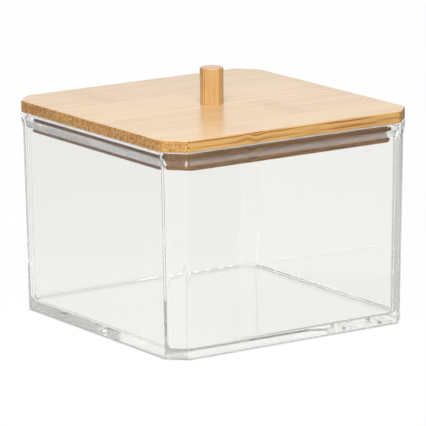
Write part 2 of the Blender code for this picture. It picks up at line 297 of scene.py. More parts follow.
@dataclass(frozen=True)
class BambooFibre:
    """Pattern of laminated bamboo: glued strips, fibre bundles, streaks and knuckles.

    The pattern is solid. It changes slowly along X and fast across it, so a long face shows
    streaks and an end face shows the bundles as dots. Scales are in bundles. A tone holds a
    pattern's mean and how much it darkens everywhere, and then how much more on the long
    sides, on the ends and on ends that are cut square.
    """

    knuckle_step: float = 37.0 * MM
    half_board: float = 60.0 * MM
    knuckle_reach: float = 3.2 * MM
    knuckle_bend: float = 1.2 * MM
    knuckle_tone: float = 0.09
    wander_scale: float = 26.0
    wander_between_strips: float = 0.31
    wander_reach: float = 1.1 * MM
    bundle_flattening: float = 1.3
    bundle_randomness: float = 0.6
    bundle_rim: float = 0.46
    bundle_core: float = 0.16
    fine_scale: float = 2.6
    broad_scale: float = 0.27
    mottle_scale: float = 0.75
    facing_from: float = 0.35
    facing_to: float = 0.85
    square_from: float = 0.80
    square_to: float = 0.98
    ground: float = 0.34
    # Less of the deep colour on the broad faces: painted sheen
    ground_on_end: float = 0.06
    painted_sheen_on_face: float = -0.17
    core_tone: tuple[float, ...] = (0.25, 0.15, 0.85, 0.48, 0.0)
    fine_tone: tuple[float, ...] = (0.5, 0.50, 0.95, 0.0, 0.0)
    broad_tone: tuple[float, ...] = (0.5, 0.42, 0.60, 0.0, 0.0)
    mottle_tone: tuple[float, ...] = (0.5, 0.0, 1.10, 1.40, 1.80)
    strip_tone: tuple[float, ...] = (0.5, 0.16, 0.0, 0.0, 0.0)
    fine_height: float = 0.6
    core_height: float = 0.4

    def build(self) -> bpy.types.ShaderNodeTree:
        """Build the group.

        Returns:
            The node group.
        """
        wire, given = new_group(
            "bamboo_fibre", "ShaderNodeTree",
            {Kind.VECTOR: ("Vector", "Facing"), Kind.COLOUR: ("Pale", "Broad Pale", "Deep"),
             Kind.FLOAT: ("Bundle Spacing", "Stretch", "Strip Width", "Strip Start",
                          "Knuckle Place", "Contrast", "Cut End Tone")},
            {Kind.COLOUR: ("Color",), Kind.FLOAT: ("Height", "Roughness")})
        along, across, depth = wire.split(given["Vector"])

        # Which glued strip a point lies in, and that strip's own tone
        strip = wire.math("FLOOR", wire.math(
            "DIVIDE", wire.math("SUBTRACT", across, given["Strip Start"]),
            given["Strip Width"]))
        strip_noise = wire.add("ShaderNodeTexWhiteNoise", noise_dimensions="1D", W=strip)

        # A knuckle crosses each strip once, stepped along from strip to strip
        stepped = wire.math("MULTIPLY_ADD", wire.math("ADD", strip, 1.0), self.knuckle_step,
                            given["Knuckle Place"])
        knuckle = wire.math("WRAP", stepped, self.half_board, -self.half_board)
        offset = wire.math("DIVIDE", wire.math("SUBTRACT", along, knuckle), self.knuckle_reach)
        bell = wire.math("EXPONENT", wire.math("MULTIPLY", wire.math(
            "MULTIPLY", offset, offset), -1.0))
        bend = wire.math("MULTIPLY", wire.math("MULTIPLY", offset, bell), self.knuckle_bend)

        # Fibres wander a little along their length
        wander = wire.noise(wire.join(X=along, Y=wire.math(
            "MULTIPLY", strip, self.wander_between_strips)), self.wander_scale, detail=1.0)
        shift = wire.math("MULTIPLY", wire.math("SUBTRACT", wander, 0.5), self.wander_reach)
        moved_across = wire.math("ADD", across, shift)
        moved_depth = wire.math("ADD", wire.math("ADD", depth, bend), shift)
        moved = wire.join(X=wire.math("MULTIPLY", along, given["Stretch"]), Y=moved_across,
                          Z=moved_depth)
        in_bundles = wire.math("DIVIDE", 1.0, given["Bundle Spacing"])
        cells = wire.scale(moved, in_bundles)

        # Each fibre bundle runs the whole length, so its cell lies in the cross section
        section = wire.join(X=wire.math("MULTIPLY", moved_across, self.bundle_flattening),
                            Y=moved_depth)
        bundles = wire.add("ShaderNodeTexVoronoi", voronoi_dimensions="2D", feature="F1",
                           Vector=wire.scale(section, in_bundles), Scale=1.0,
                           Randomness=self.bundle_randomness)
        core = wire.ramp(bundles.outputs["Distance"], self.bundle_rim, self.bundle_core)
        fine = wire.noise(cells, self.fine_scale, detail=3.0, roughness=0.6)
        broad = wire.noise(cells, self.broad_scale, detail=2.0)
        mottle = wire.noise(cells, self.mottle_scale, detail=2.0, roughness=0.7)

        # Cut ends show the bundles as dark dots, sides as firm streaks, the face as soft ones
        turns = [wire.math("ABSOLUTE", axis) for axis in wire.split(given["Facing"])]
        end, edge, face = [wire.ramp(turn, self.facing_from, self.facing_to) for turn in turns]
        square_end = wire.ramp(turns[0], self.square_from, self.square_to)
        side = wire.math("MULTIPLY", edge, wire.math("SUBTRACT", 1.0, end))
        spread = wire.math("MULTIPLY", bell, self.knuckle_tone)
        for pattern, (mean, share, *more) in (
                (core, self.core_tone), (fine, self.fine_tone), (broad, self.broad_tone),
                (mottle, self.mottle_tone), (strip_noise.outputs["Value"], self.strip_tone)):
            for mask, weight in zip((side, end, square_end), more):
                if weight:
                    share = wire.math("MULTIPLY_ADD", mask, weight, share)
            centred = wire.math("SUBTRACT", pattern, mean)
            spread = wire.math("MULTIPLY_ADD", centred, share, spread)
        # The broad faces take less of the deep colour and blend to a paler colour of their own:
        # painted sheen of the lacquer on those faces
        ground = wire.math("MULTIPLY_ADD", end, self.ground_on_end, self.ground)
        ground = wire.math("MULTIPLY_ADD", face, self.painted_sheen_on_face, ground)
        # Ends cut square darken by a tone of their own: end grain, and where the tone is large,
        # as on the plug board, also painted shade
        ground = wire.math("MULTIPLY_ADD", square_end, given["Cut End Tone"], ground)
        tone = wire.math("MULTIPLY_ADD", spread, given["Contrast"], ground, clamp=True)
        pale = wire.blend(face, given["Pale"], given["Broad Pale"])
        relief = wire.math("SUBTRACT", wire.math("MULTIPLY", fine, self.fine_height),
                           wire.math("MULTIPLY", core, self.core_height))
        wire.add("NodeGroupOutput", Color=wire.blend(tone, pale, given["Deep"]), Height=relief,
                 Roughness=core)
        return wire.tree


@dataclass(frozen=True)
class HandlingMarks:
    """Fine marks of use: two crossing sets of hair scratches, and smudges."""

    turns: tuple[Point, Point] = ((0.4, 0.9, 0.3), (1.7, 0.2, 2.1))
    stretch: Point = (0.03, 1.0, 1.0)
    scratch_from: float = 0.68
    scratch_to: float = 0.76
    smudge_from: float = 0.45
    smudge_to: float = 0.72

    def build(self) -> bpy.types.ShaderNodeTree:
        """Build the group.

        Returns:
            The node group.
        """
        wire, given = new_group(
            "handling_marks", "ShaderNodeTree",
            {Kind.VECTOR: ("Vector",), Kind.FLOAT: ("Scratch Spacing", "Smudge Size")},
            {Kind.FLOAT: ("Scratches", "Smudges", "Height")})
        hairs = []
        for turn in self.turns:
            drawn_out = wire.apply("ShaderNodeMapping", given["Vector"], Rotation=turn,
                                   Scale=self.stretch)
            place = wire.scale(drawn_out, wire.math("DIVIDE", 1.0, given["Scratch Spacing"]))
            hairs.append(wire.ramp(wire.noise(place, scale=1.0, detail=1.0),
                                   self.scratch_from, self.scratch_to))
        scratches = wire.math("MAXIMUM", *hairs)
        place = wire.scale(given["Vector"], wire.math("DIVIDE", 1.0, given["Smudge Size"]))
        smudges = wire.ramp(wire.noise(place, scale=1.0, detail=4.0, roughness=0.65),
                            self.smudge_from, self.smudge_to)
        wire.add("NodeGroupOutput", Scratches=scratches, Smudges=smudges,
                 Height=wire.math("MULTIPLY", scratches, -1.0))
        return wire.tree


@dataclass(frozen=True)
class NodeGroups:
    """Shader groups that several finishes share."""

    fibre: bpy.types.ShaderNodeTree
    wear: bpy.types.ShaderNodeTree

    @classmethod
    def build(cls) -> "NodeGroups":
        """Build each group once and return them."""
        return cls(fibre=BambooFibre().build(), wear=HandlingMarks().build())

    def marks(self, wire: Wiring, place: Socket, spacing: float, size: float) -> Any:
        """Place the marks of use in a material and return the group's outputs."""
        return wire.add("ShaderNodeGroup", node_tree=self.wear, Vector=place,
                        Scratch_Spacing=spacing, Smudge_Size=size).outputs


def new_material(name: str) -> tuple[Material, Wiring, bpy.types.Node]:
    """Make a material with its Principled shader.

    Args:
        name: Name of the finish.

    Returns:
        The material, the wiring of its tree and its Principled node.
    """
    made = bpy.data.materials.new(name)
    made.use_nodes = True
    return made, Wiring(made.node_tree), made.node_tree.nodes["Principled BSDF"]


@dataclass(frozen=True)
class ClearPlastic:
    """Clear moulded polystyrene, polished all over but for the lead-in inside the mouth."""

    groups: NodeGroups
    name: str = "clear_plastic_moulded"
    tint: Colour = (0.967, 0.965, 0.951, 1.0)
    refraction: float = 1.59
    depth_colour: Colour = (0.22, 0.22, 0.14, 1.0)
    depth_density: float = 0.5
    scratch_roughness: float = 0.03
    lead_in_roughness: float = 0.07
    scratch_spacing: float = 0.55 * MM
    smudge_size: float = 30.0 * MM
    scratch_relief: float = 0.2
    scratch_depth: float = 0.0003 * MM

    def material(self) -> Material:
        """Build the material.

        Returns:
            The clear plastic.
        """
        made, wire, shader = new_material(self.name)
        place = wire.add("ShaderNodeTexCoord").outputs["Object"]
        wear = self.groups.marks(wire, place, self.scratch_spacing, self.smudge_size)
        lead_in = wire.add("ShaderNodeAttribute", attribute_name="lead_in").outputs["Fac"]
        marks = wire.math("MULTIPLY", wear["Scratches"], wear["Smudges"])
        rough = wire.math("MULTIPLY", marks, self.scratch_roughness)
        rough = wire.math("MULTIPLY_ADD", lead_in, self.lead_in_roughness, rough)
        wire.put(shader, Base_Color=self.tint, Roughness=rough, IOR=self.refraction,
                 Transmission_Weight=1.0,
                 Normal=wire.bump(marks, self.scratch_relief, self.scratch_depth))
        depth = wire.apply("ShaderNodeVolumeAbsorption", Color=self.depth_colour,
                           Density=self.depth_density)
        wire.put(made.node_tree.nodes["Material Output"], Volume=depth)
        return made


@dataclass(frozen=True)
class Bamboo:
    """Bamboo under a thin satin lacquer."""

    groups: NodeGroups
    name: str
    pale: Colour
    # Paler colour that the broad faces blend to: painted sheen
    broad_pale: Colour
    deep: Colour
    grain: Grain
    contrast: float = 1.0
    # Extra darkening of ends cut square: end grain, and painted shade where it is large
    cut_end_tone: float = 0.0
    seat: Point = (0.0, 0.0, 0.0)
    bundle_spacing: float = 0.85 * MM
    stretch: float = 0.036
    strip_width: float = 29.0 * MM
    strip_start: float = -35.5 * MM
    knuckle_place: float = -20.0 * MM
    wood_roughness: float = 0.42
    bundle_roughness: float = 0.10
    smudge_roughness: float = 0.06
    lacquer: float = 1.0
    lacquer_roughness: float = 0.27
    specular: float = 0.5
    fibre_relief: float = 0.35
    fibre_depth: float = 0.015 * MM
    scratch_spacing: float = 0.35 * MM
    smudge_size: float = 18.0 * MM

    def material(self) -> Material:
        """Build the material.

        Returns:
            The lacquered bamboo.
        """
        made, wire, shader = new_material(self.name)
        coordinates = wire.add("ShaderNodeTexCoord").outputs
        place = wire.apply("ShaderNodeMapping", coordinates["Object"], Location=self.seat,
                           Rotation=self.grain.value)
        facing = wire.apply("ShaderNodeMapping", coordinates["Normal"],
                            vector_type="VECTOR", Rotation=self.grain.value)
        fibre = wire.add(
            "ShaderNodeGroup", node_tree=self.groups.fibre, Vector=place, Facing=facing,
            Pale=self.pale, Broad_Pale=self.broad_pale, Deep=self.deep,
            Bundle_Spacing=self.bundle_spacing, Stretch=self.stretch,
            Strip_Width=self.strip_width, Strip_Start=self.strip_start,
            Knuckle_Place=self.knuckle_place, Contrast=self.contrast,
            Cut_End_Tone=self.cut_end_tone).outputs
        wear = self.groups.marks(wire, coordinates["Object"], self.scratch_spacing,
                                 self.smudge_size)
        rough = wire.math("MULTIPLY_ADD", fibre["Roughness"], self.bundle_roughness,
                          self.wood_roughness)
        rough = wire.math("MULTIPLY_ADD", wear["Smudges"], self.smudge_roughness, rough)
        wire.put(shader, Base_Color=fibre["Color"], Roughness=rough,
                 Specular_IOR_Level=self.specular, Coat_Weight=self.lacquer,
                 Coat_Roughness=self.lacquer_roughness,
                 Normal=wire.bump(fibre["Height"], self.fibre_relief, self.fibre_depth))
        return made


@dataclass(frozen=True)
class ZincSteel:
    """Zinc plated steel of the screw."""

    groups: NodeGroups
    name: str = "zinc_plated_screw"
    bright: Colour = linear(206, 205, 200)
    dull: Colour = linear(160, 158, 150)
    roughness: float = 0.26
    scratch_roughness: float = 0.18
    scratch_spacing: float = 0.12 * MM
    smudge_size: float = 2.5 * MM
    scratch_relief: float = 0.4
    scratch_depth: float = 0.004 * MM

    def material(self) -> Material:
        """Build the material.

        Returns:
            The plated steel.
        """
        made, wire, shader = new_material(self.name)
        place = wire.add("ShaderNodeTexCoord").outputs["Object"]
        wear = self.groups.marks(wire, place, self.scratch_spacing, self.smudge_size)
        colour = wire.blend(wear["Smudges"], self.bright, self.dull)
        rough = wire.math("MULTIPLY_ADD", wear["Scratches"], self.scratch_roughness,
                          self.roughness)
        wire.put(shader, Base_Color=colour, Roughness=rough, Metallic=1.0,
                 Normal=wire.bump(wear["Height"], self.scratch_relief, self.scratch_depth))
        return made


def link(piece: Object) -> Object:
    """Put an object in the scene and return it."""
    bpy.context.scene.collection.objects.link(piece)
    return piece


def plain_copy(source: Object, name: str) -> Object:
    """Turn an object with live modifiers into a plain mesh in place, and remove the source.

    Args:
        source: Object with modifiers.
        name: Name of the finished piece.

    Returns:
        The plain piece, at the origin.
    """
    graph = bpy.context.evaluated_depsgraph_get()
    mesh = bpy.data.meshes.new_from_object(source.evaluated_get(graph))
    mesh.transform(source.matrix_world)
    mesh.name = name
    bpy.data.objects.remove(source, do_unlink=True)
    return link(bpy.data.objects.new(name, mesh))


def object_from(work: bmesh.types.BMesh, name: str) -> Object:
    """Turn a working mesh into an object of the scene, and free it.

    Args:
        work: Working mesh.
        name: Name of the object.

    Returns:
        The object.
    """
    mesh = bpy.data.meshes.new(name)
    work.to_mesh(mesh)
    work.free()
    return link(bpy.data.objects.new(name, mesh))


def grown(name: str, tree: bpy.types.GeometryNodeTree, **values: Any) -> Object:
    """Run a geometry tree and keep what it makes as a plain mesh.

    Args:
        name: Name of the finished piece.
        tree: Geometry tree.
        values: Its inputs by name, with an underscore for each space in the name.

    Returns:
        The plain piece, at the origin.
    """
    blank = link(bpy.data.objects.new("blank", bpy.data.meshes.new("blank")))
    modifier = blank.modifiers.new("grow", "NODES")
    modifier.node_group = tree
    for item in tree.interface.items_tree:
        key = item.name.replace(" ", "_")
        if item.item_type == "SOCKET" and item.in_out == "INPUT" and key in values:
            modifier[item.identifier] = values[key]
    return plain_copy(blank, name)


def close_and_shade(piece: Object) -> None:
    """Join doubled points, fill open ends, face the surface outwards and shade it.

    Args:
        piece: Mesh object to finish.
    """
    work = bmesh.new()
    work.from_mesh(piece.data)
    bmesh.ops.remove_doubles(work, verts=work.verts, dist=DOUBLE_DISTANCE)
    open_edges = [edge for edge in work.edges if len(edge.link_faces) == 1]
    if open_edges:
        bmesh.ops.holes_fill(work, edges=open_edges, sides=0)
    bmesh.ops.recalc_face_normals(work, faces=work.faces)
    work.to_mesh(piece.data)
    work.free()
    piece.data.shade_smooth()
    piece.data.set_sharp_from_angle(angle=SMOOTH_ANGLE)
    weighted = piece.modifiers.new("flat_faces_stay_flat", "WEIGHTED_NORMAL")
    weighted.mode = "FACE_AREA"
    weighted.weight = FACE_WEIGHT
    weighted.keep_sharp = True


def dress(piece: Object, finish: Material) -> None:
    """Give every face of a mesh one finish."""
    piece.data.materials.clear()
    piece.data.materials.append(finish)


def finish_piece(piece: Object, finish: Material, node: str, body: Body) -> None:
    """Close and dress a piece that stands for a node of the frame and rides with its body.

    Args:
        piece: Mesh object to finish.
        finish: Material to show.
        node: Node that it stands for.
        body: Body that it rides on.
    """
    close_and_shade(piece)
    dress(piece, finish)
    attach(piece, body.value)
    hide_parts(node)
    log.info("%s stands for %s and rides on %s", piece.name, node, body.value)


def tub_skin_tree() -> bpy.types.GeometryNodeTree:
    """Build the tree that lofts the tub, with plan outlines stepped out and in by a profile.

    The plan is a square whose corners are cut flat and then softened. It is drawn at two
    widths, and every ring of the skin lies on the line between them, at the share that the
    profile's point gives. So each flat corner stays parallel to itself as the wall moves.

    Returns:
        The geometry tree.
    """
    wire, given = new_group(
        "tub_skin", "GeometryNodeTree",
        {Kind.OBJECT: ("Profile",),
         Kind.FLOAT: ("Base Half Width", "Base Corner Cut", "Widening", "Corner Radius",
                      "Inside Corner Radius", "Merge Distance"),
         Kind.WHOLE: ("Corner Steps", "Fillet Steps", "Inside Corner", "Lead In Corner"),
         Kind.MATERIAL: ("Finish",)},
        {Kind.SHAPE: ("Geometry",)})

    def fillet(curve: Socket, count: Any, radius: Any) -> Socket:
        """Round or cut the corners of a curve."""
        return wire.apply("GeometryNodeFilletCurve", mode="POLY", Curve=curve, Count=count,
                          Radius=radius)

    def plan(half_width: Any, corner_cut: Any, radius: Any) -> Socket:
        """Draw the softened plan outline at one width.

        Args:
            half_width: Half of the square's width.
            corner_cut: Length that the cut takes off each side at a corner.
            radius: Radius that softens the cut's edges.

        Returns:
            The outline.
        """
        width = wire.math("MULTIPLY", half_width, 2.0)
        square = wire.apply("GeometryNodeCurvePrimitiveQuadrilateral", width, width)
        return fillet(fillet(square, 1, corner_cut), given["Corner Steps"], radius)

    def count(curve: Socket) -> Socket:
        """Count a curve's points."""
        return wire.add("GeometryNodeAttributeDomainSize", component="CURVE",
                        Geometry=curve).outputs["Point Count"]

    def point_of(curve: Socket, number: Socket) -> Socket:
        """Read the place of one of a curve's points."""
        return wire.apply("GeometryNodeSampleIndex", data_type="FLOAT_VECTOR", domain="POINT",
                          Geometry=curve, Value=position, Index=number)

    cut_growth = wire.math("MULTIPLY", given["Widening"], FLAT_CORNER_GROWTH)
    wide_half = wire.math("ADD", given["Base Half Width"], given["Widening"])
    wide_cut = wire.math("ADD", given["Base Corner Cut"], cut_growth)
    outlines = [(plan(given["Base Half Width"], given["Base Corner Cut"], radius),
                 plan(wide_half, wide_cut, radius))
                for radius in (given["Corner Radius"], given["Inside Corner Radius"])]
    steps_around = count(outlines[0][0])
    drawn = wire.add("GeometryNodeObjectInfo", Object=given["Profile"])
    profile = fillet(drawn.outputs["Geometry"], given["Fillet Steps"],
                     wire.apply("GeometryNodeInputRadius"))

    # A grid has one row for each point of the profile, and each row becomes a ring
    around = wire.whole("ADD", steps_around, 1)
    grid = wire.apply("GeometryNodeMeshGrid", Vertices_X=count(profile), Vertices_Y=around)
    index = wire.apply("GeometryNodeInputIndex")
    ring = wire.whole("DIVIDE_FLOOR", index, around)
    step = wire.whole("MODULO", wire.whole("MODULO", index, around), steps_around)
    position = wire.apply("GeometryNodeInputPosition")
    ring_half_width, ring_height, _ = wire.split(point_of(profile, ring))
    share = wire.math("DIVIDE",
                      wire.math("SUBTRACT", ring_half_width, given["Base Half Width"]),
                      given["Widening"])
    flats = []
    for narrow_outline, wide_outline in outlines:
        inner = point_of(narrow_outline, step)
        outward = wire.vector("SUBTRACT", point_of(wide_outline, step), inner)
        flats.append(wire.vector("ADD", inner, wire.scale(outward, share)))
    arc_points = wire.whole("ADD", given["Fillet Steps"], 1)
    last_outside = wire.whole("MULTIPLY", arc_points,
                              wire.whole("SUBTRACT", given["Inside Corner"], 1))
    flat = wire.apply("GeometryNodeSwitch", wire.math("GREATER_THAN", ring, last_outside),
                      *flats, input_type="VECTOR")
    skin = wire.apply("GeometryNodeSetPosition", grid,
                      Position=wire.vector("ADD", flat, wire.join(Z=ring_height)))

    # The sloping lead-in lies between the arcs of two neighbouring profile corners
    middle = wire.math("ADD", wire.whole("MULTIPLY", arc_points, given["Lead In Corner"]), 0.5)
    away = wire.math("ABSOLUTE", wire.math("SUBTRACT", ring, middle))
    edge = wire.math("MULTIPLY", arc_points, 0.5)
    on_slope = wire.ramp(away, wire.math("ADD", edge, 1.0), wire.math("SUBTRACT", edge, 1.0))
    marked = wire.apply("GeometryNodeStoreNamedAttribute", skin, data_type="FLOAT",
                        domain="POINT", Name="lead_in", Value=on_slope)
    joined = wire.apply("GeometryNodeMergeByDistance", marked,
                        Distance=given["Merge Distance"])
    wire.deliver(joined, given["Finish"])
    return wire.tree


def thread_tree() -> bpy.types.GeometryNodeTree:
    """Build the tree that winds a screw thread: a three-sided ridge along a rising spiral.

    Returns:
        The geometry tree.
    """
    wire, given = new_group(
        "screw_thread", "GeometryNodeTree",
        {Kind.FLOAT: ("Core Radius", "Ridge Radius", "Pitch", "Bottom", "Top"),
         Kind.WHOLE: ("Steps A Turn",), Kind.MATERIAL: ("Finish",)},
        {Kind.SHAPE: ("Geometry",)})
    rise = wire.math("SUBTRACT", given["Top"], given["Bottom"])
    spiral = wire.apply("GeometryNodeCurveSpiral", Resolution=given["Steps A Turn"],
                        Rotations=wire.math("DIVIDE", rise, given["Pitch"]),
                        Start_Radius=given["Core Radius"], End_Radius=given["Core Radius"],
                        Height=rise)
    ridge = wire.apply("GeometryNodeCurvePrimitiveCircle", mode="RADIUS", Resolution=3,
                       Radius=given["Ridge Radius"])
    wound = wire.apply("GeometryNodeCurveToMesh", spiral, Profile_Curve=ridge,
                       Fill_Caps=True)
    lifted = wire.apply("GeometryNodeTransform", wound,
                        Translation=wire.join(Z=given["Bottom"]))
    wire.deliver(lifted, given["Finish"])
    return wire.tree


def turned(name: str, profile: Sequence[tuple[float, float]], steps: int) -> Object:
    """Revolve a profile about the Z axis.

    Args:
        name: Name of the piece.
        profile: Points of radius and height, from top to bottom.
        steps: Steps round the axis.

    Returns:
        The turned piece.
    """
    work = bmesh.new()
    points = [work.verts.new((radius, 0.0, height)) for radius, height in profile]
    edges = [work.edges.new(pair) for pair in zip(points, points[1:])]
    bmesh.ops.spin(work, geom=points + edges, cent=(0.0, 0.0, 0.0), axis=(0.0, 0.0, 1.0),
                   angle=math.tau, steps=steps, use_merge=True)
    return object_from(work, name)


def arc(center: tuple[float, float], radius: float, start: float, end: float,
        steps: int) -> list[tuple[float, float]]:
    """List points along an arc of a profile.

    Args:
        center: Centre of the arc.
        radius: Radius of the arc.
        start: First angle in radians.
        end: Last angle in radians.
        steps: Steps along the arc.

    Returns:
        Points of radius and height.
    """
    angles = [start + (end - start) * step / steps for step in range(steps + 1)]
    return [(center[0] + radius * math.cos(angle), center[1] + radius * math.sin(angle))
            for angle in angles]


def bore_out(piece: Object, cutters: Sequence[Object], name: str) -> Object:
    """Cut shapes out of a piece, and remove the cutters.

    Args:
        piece: Piece to cut.
        cutters: Closed shapes to take out.
        name: Name of the finished piece.

    Returns:
        The cut piece as a plain mesh.
    """
    for cutter in cutters:
        boolean = piece.modifiers.new(cutter.name, "BOOLEAN")
        boolean.operation = "DIFFERENCE"
        boolean.solver = "EXACT"
        boolean.object = cutter
    done = plain_copy(piece, name)
    for cutter in cutters:
        bpy.data.objects.remove(cutter, do_unlink=True)
    return done


@dataclass
class ClearTub:
    """The clear moulded tub: drafted walls, flat corners, flared rim and lead-in."""

    height: float = 77.8 * MM
    rim_width: float = 111.2 * MM
    flare_step: float = 0.7 * MM
    draft_step: float = 1.1 * MM
    base_corner_cut: float = 6.2 * MM
    base_edge_radius: float = 1.0 * MM
    corner_radius: float = 0.5 * MM
    inside_corner_radius: float = 3.0 * MM
    wall: float = 2.9 * MM
    rim_wall: float = 1.55 * MM
    floor: float = 3.4 * MM
    floor_fillet: float = 1.5 * MM
    flare_top_drop: float = 2.0 * MM
    flare_bottom_drop: float = 6.0 * MM
    flare_fillet: float = 1.2 * MM
    lead_in_top_drop: float = 2.4 * MM
    lead_in_bottom_drop: float = 6.0 * MM
    lead_in_top_fillet: float = 1.0 * MM
    lead_in_bottom_fillet: float = 4.5 * MM
    rim_edge_radius: float = 0.45 * MM
    crown_set_back: float = 0.45 * MM
    crown_drop: float = 1.25 * MM
    merge_distance: float = 0.001 * MM
    corner_steps: int = 6
    fillet_steps: int = 10
    inside_corner: int = 5
    lead_in_corner: int = 7

    def half_width(self, height: float) -> float:
        """Give half of the outside width on the drafted wall.

        Args:
            height: Height above the ground.

        Returns:
            Distance of the wall from the middle.
        """
        shoulder = self.height - self.flare_bottom_drop
        inset = self.flare_step + self.draft_step * (1.0 - height / shoulder)
        return self.rim_width / 2.0 - inset

    def profile_corners(self) -> list[tuple[float, float, float]]:
        """List the profile's corners from the underside over the rim to the inside floor.

        Returns:
            Half width, height and fillet radius of each corner.
        """
        rim = self.rim_width / 2.0
        rim_inside = rim - self.rim_wall
        shoulder = self.height - self.flare_bottom_drop
        lead_in_bottom = self.height - self.lead_in_bottom_drop
        wall_inside = self.half_width(lead_in_bottom) - self.wall
        floor_inside = self.half_width(self.floor) - self.wall
        base = self.half_width(0.0)
        return [
            (base - self.base_edge_radius * 2.0, 0.0, 0.0),
            (base, 0.0, self.base_edge_radius),
            (self.half_width(shoulder), shoulder, self.flare_fillet),
            (rim, self.height - self.flare_top_drop, self.flare_fillet),
            (rim, self.height, self.rim_edge_radius),
            (rim_inside + self.crown_set_back, self.height, self.rim_edge_radius),
            (rim_inside, self.height - self.crown_drop, self.rim_edge_radius),
            (rim_inside, self.height - self.lead_in_top_drop, self.lead_in_top_fillet),
            (wall_inside, lead_in_bottom, self.lead_in_bottom_fillet),
            (floor_inside, self.floor, self.floor_fillet),
            (floor_inside - self.floor_fillet * 2.0, self.floor, 0.0),
        ]

    def profile_curve(self) -> Object:
        """Draw the profile as a curve whose point radius is the fillet radius.

        Returns:
            The curve object.
        """
        curve = bpy.data.curves.new("tub_profile", "CURVE")
        curve.dimensions = "3D"
        spline = curve.splines.new("POLY")
        corners = self.profile_corners()
        spline.points.add(len(corners) - 1)
        for point, (half_width, height, radius) in zip(spline.points, corners):
            point.co = (half_width, height, 0.0, 1.0)
            point.radius = radius
        return link(bpy.data.objects.new("tub_profile", curve))

    def build(self, finish: Material) -> Object:
        """Loft the tub.

        Args:
            finish: Clear plastic.

        Returns:
            The finished tub.
        """
        profile = self.profile_curve()
        tub = grown("tub_moulding", tub_skin_tree(), Profile=profile,
                    Base_Half_Width=self.half_width(0.0), Base_Corner_Cut=self.base_corner_cut,
                    Widening=self.flare_step + self.draft_step,
                    Corner_Radius=self.corner_radius,
                    Inside_Corner_Radius=self.inside_corner_radius,
                    Corner_Steps=self.corner_steps, Fillet_Steps=self.fillet_steps,
                    Inside_Corner=self.inside_corner, Lead_In_Corner=self.lead_in_corner,
                    Merge_Distance=self.merge_distance, Finish=finish)
        bpy.data.objects.remove(profile, do_unlink=True)
        finish_piece(tub, finish, "tub", Body.TUB)
        return tub


@dataclass
class LidBoards:
    """The bamboo lid: a plate that rests on the rim, over the plug board in the mouth."""

    corner_cut: float = 7.4 * MM
    corner_radius: float = 4.0 * MM
    edge_radius: float = 0.4 * MM
    screw_hole: float = 3.6 * MM
    corner_steps: int = 14
    edge_steps: int = 5
    hole_steps: int = 48

    def plate(self, finish: Material) -> Object:
        """Make the top plate, brought down onto the rim.

        Args:
            finish: Bamboo of the boards.

        Returns:
            The finished plate.
        """
        low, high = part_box("lid_plate")
        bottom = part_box("tub")[1][2] + TOUCH_GAP
        width = high[0] - low[0]
        thickness = high[2] - bottom
        work = bmesh.new()
        bmesh.ops.create_cube(work, size=1.0)
        bmesh.ops.scale(work, vec=(width, width, thickness), verts=work.verts)
        softening = self.corner_radius * math.tan(FLAT_CORNER_TURN / 2.0)
        for offset, steps in ((self.corner_cut, 1), (softening, self.corner_steps)):
            upright = [edge for edge in work.edges if edge.verts[0].co.z != edge.verts[1].co.z]
            bmesh.ops.bevel(work, geom=upright, offset=offset, offset_type="OFFSET",
                            segments=steps, profile=0.5, affect="EDGES")
        bmesh.ops.translate(work, vec=(0.0, 0.0, bottom + thickness / 2.0), verts=work.verts)
        bmesh.ops.recalc_face_normals(work, faces=work.faces)
        blank = object_from(work, "plate_blank")
        rims = blank.modifiers.new("soft_rims", "BEVEL")
        rims.width = self.edge_radius
        rims.segments = self.edge_steps
        rims.limit_method = "ANGLE"
        rims.angle_limit = FLAT_CORNER_TURN
        radius = self.screw_hole / 2.0
        above, below = high[2] + thickness, bottom - thickness
        drill = turned("plate_drill", [(0.0, above), (radius, above), (radius, below),
                                       (0.0, below)], self.hole_steps)
        close_and_shade(drill)
        plate = bore_out(blank, [drill], "lid_top_plate")
        finish_piece(plate, finish, "lid_plate", Body.LID)
        return plate

    def dress_plug(self, finish: Material) -> None:
        """Give the plug board of the frame its bamboo."""
        dress(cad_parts["lid_plug"], finish)
        log.info("lid_plug stays and is dressed in %s", finish.name)


@dataclass
class TurnedKnob:
    """The dowel knob, brought down onto the plate, with its blind screw hole."""

    edge_radius: float = 0.5 * MM
    foot_radius: float = 0.12 * MM
    hole: float = 3.6 * MM
    steps: int = 96
    arc_steps: int = 8

    def build(self, finish: Material) -> Object:
        """Turn the knob.

        Args:
            finish: Bamboo of the dowel.

        Returns:
            The finished knob.
        """
        low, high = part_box("knob")
        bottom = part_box("lid_plate")[1][2] + TOUCH_GAP
        radius = (high[0] - low[0]) / 2.0
        hole_radius = self.hole / 2.0
        hole_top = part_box("knob_screw")[1][2] + self.edge_radius
        top = arc((radius - self.edge_radius, high[2] - self.edge_radius), self.edge_radius,
                  math.pi / 2.0, 0.0, self.arc_steps)
        foot = arc((radius - self.foot_radius, bottom + self.foot_radius), self.foot_radius,
                   0.0, -math.pi / 2.0, self.arc_steps)
        profile = [(0.0, high[2])] + top + foot
        profile += [(hole_radius, bottom), (hole_radius, hole_top), (0.0, hole_top)]
        knob = turned("lid_knob", profile, self.steps)
        finish_piece(knob, finish, "knob", Body.LID)
        return knob


